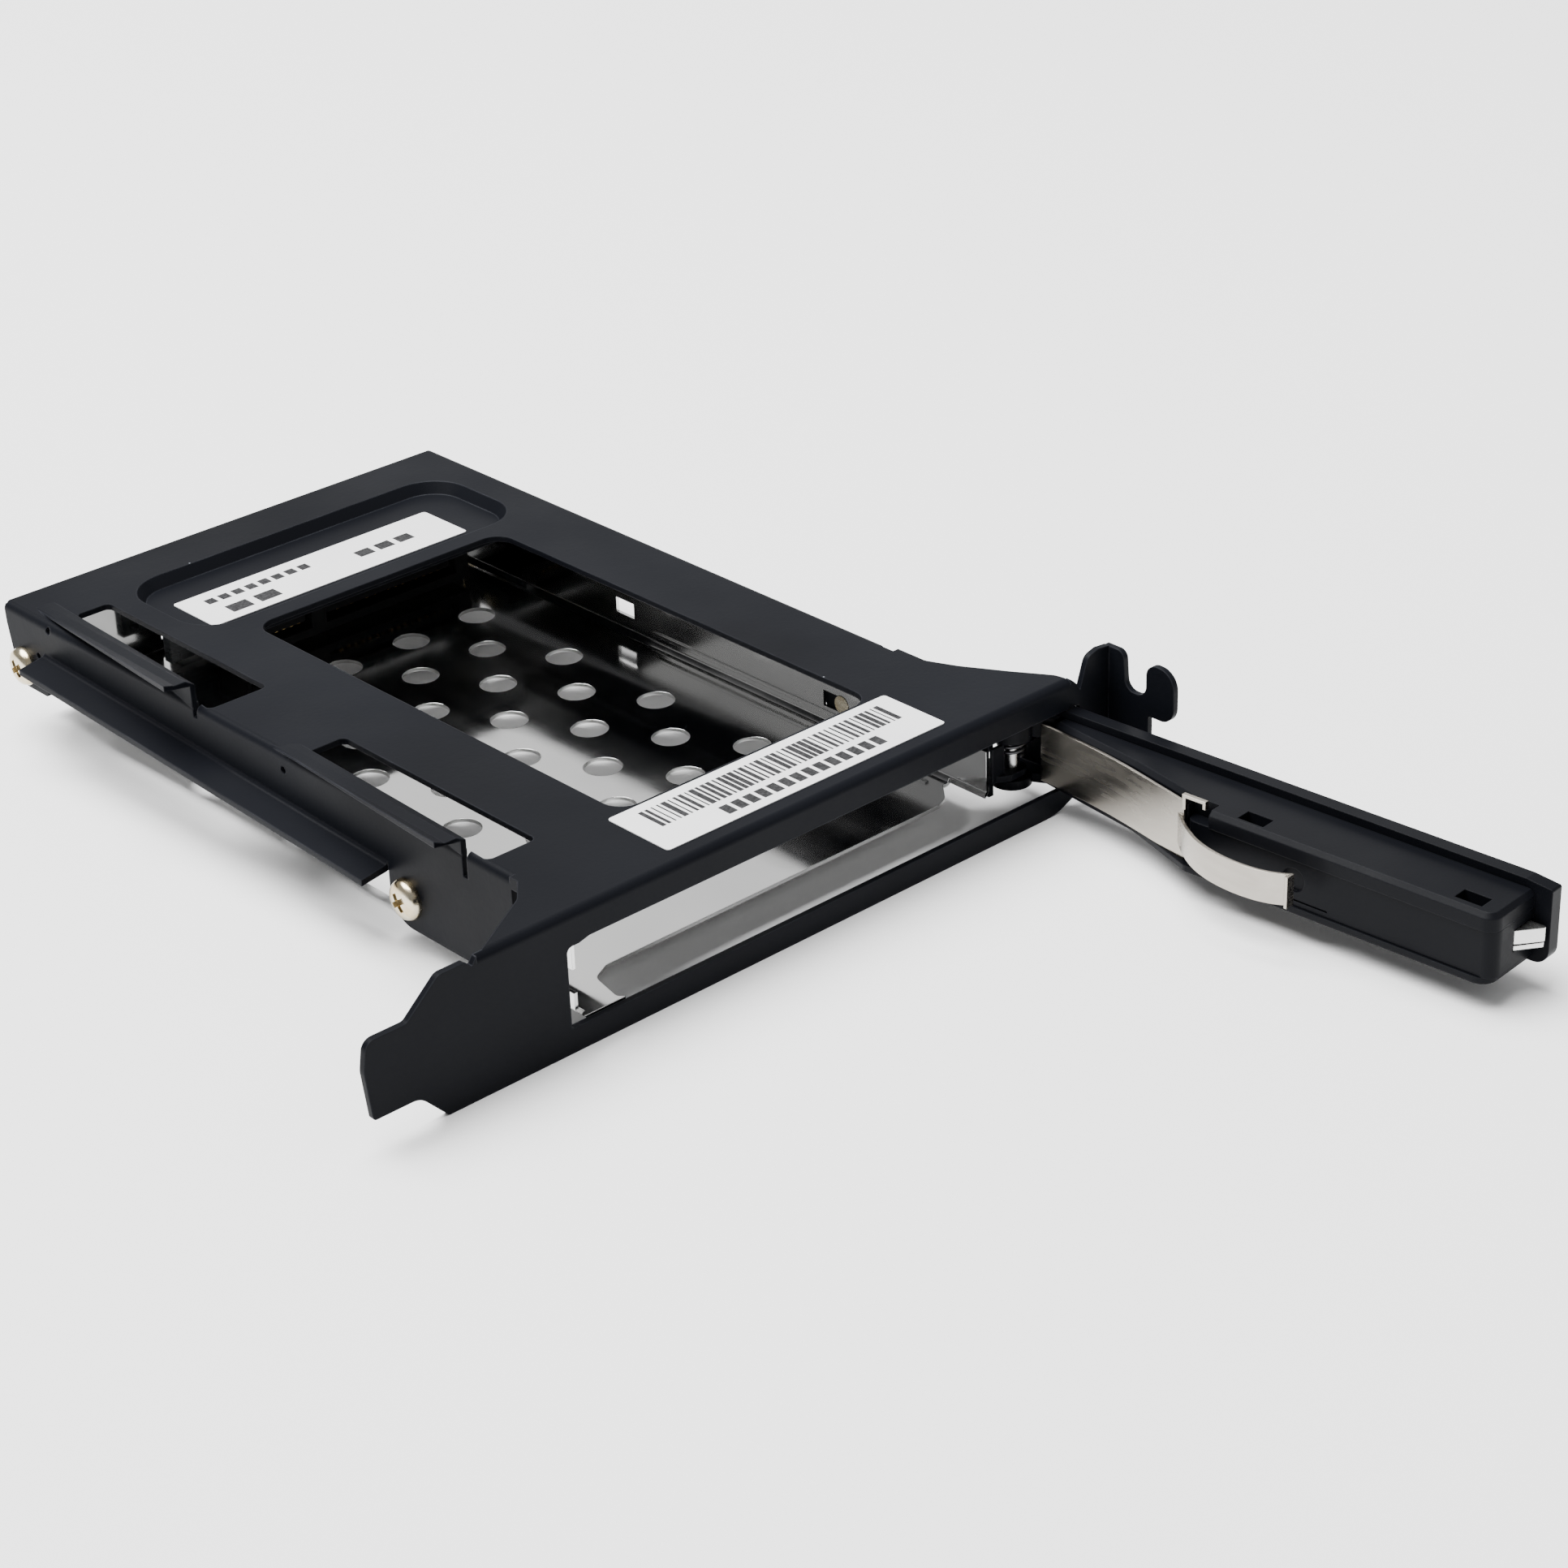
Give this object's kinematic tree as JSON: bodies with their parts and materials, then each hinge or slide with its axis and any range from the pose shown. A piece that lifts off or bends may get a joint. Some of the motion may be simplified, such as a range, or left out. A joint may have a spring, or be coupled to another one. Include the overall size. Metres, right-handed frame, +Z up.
{
  "type": "expansion slot hard drive rack",
  "caption": "Slot-bracket rack for a small hard drive: black folded cover, perforated bright tray, rear plugs and a sprung swing-out door with a sliding latch.",
  "frame": {"origin": "centre of the bounding box's bottom face, with the door open as stored", "axes": "+X along the slot bracket from its tongue to its screw tab, +Y from the bracket's front into the case along the drive's way, +Z up from the tray's floor to the cover"},
  "size_m": [0.12, 0.1912, 0.0223],
  "materials": {
    "black_paint": "satin black powder coat with fine dust specks",
    "tray_steel": "bright plated sheet, soft mirror-like",
    "screw_plate": "yellowish zinc plating",
    "label_paper": "matt white film, blank",
    "board_laminate": "green solder mask",
    "post_brass": "turned brass",
    "plug_plastic": "moulded black plastic",
    "contact_metal": "gold-plated strip",
    "pin_steel": "drawn steel wire",
    "door_plastic": "satin black plastic",
    "spring_steel": "warm brushed stainless strip"
  },
  "bodies": {
    "chassis": {"cover_bracket": "black_paint", "drive_tray": "tray_steel", "cover_screws": "screw_plate", "front_label": "label_paper", "rear_label": "label_paper", "circuit_board": "board_laminate", "board_screws": "screw_plate", "board_standoffs": "post_brass", "drive_plug": "plug_plastic", "drive_contacts": "contact_metal", "power_plug": "plug_plastic", "power_contacts": "contact_metal", "data_plug": "plug_plastic", "data_contacts": "contact_metal", "hinge_mount": "black_paint", "hinge_pin": "pin_steel"},
    "door": {"door_shell": "door_plastic", "door_block": "door_plastic", "door_cap": "door_plastic", "leaf_spring": "spring_steel", "hinge_spring": "pin_steel"},
    "latch": {"latch_tongue": "spring_steel", "latch_grip": "door_plastic"}
  },
  "joints": [
    {"name": "door_hinge", "type": "hinge", "parent": "chassis", "child": "door", "pos_m": [0.04699, -0.01886, 0.0084], "axis": [0, 0, 1], "range_deg": [-94.7, 0], "stiffness_Nm_per_rad": 0.004},
    {"name": "latch_slide", "type": "slide", "parent": "door", "child": "latch", "axis": [-0.0823, 0.9966, 0], "range_m": [0, 0.0018], "stiffness_N_per_m": 30}
  ]
}
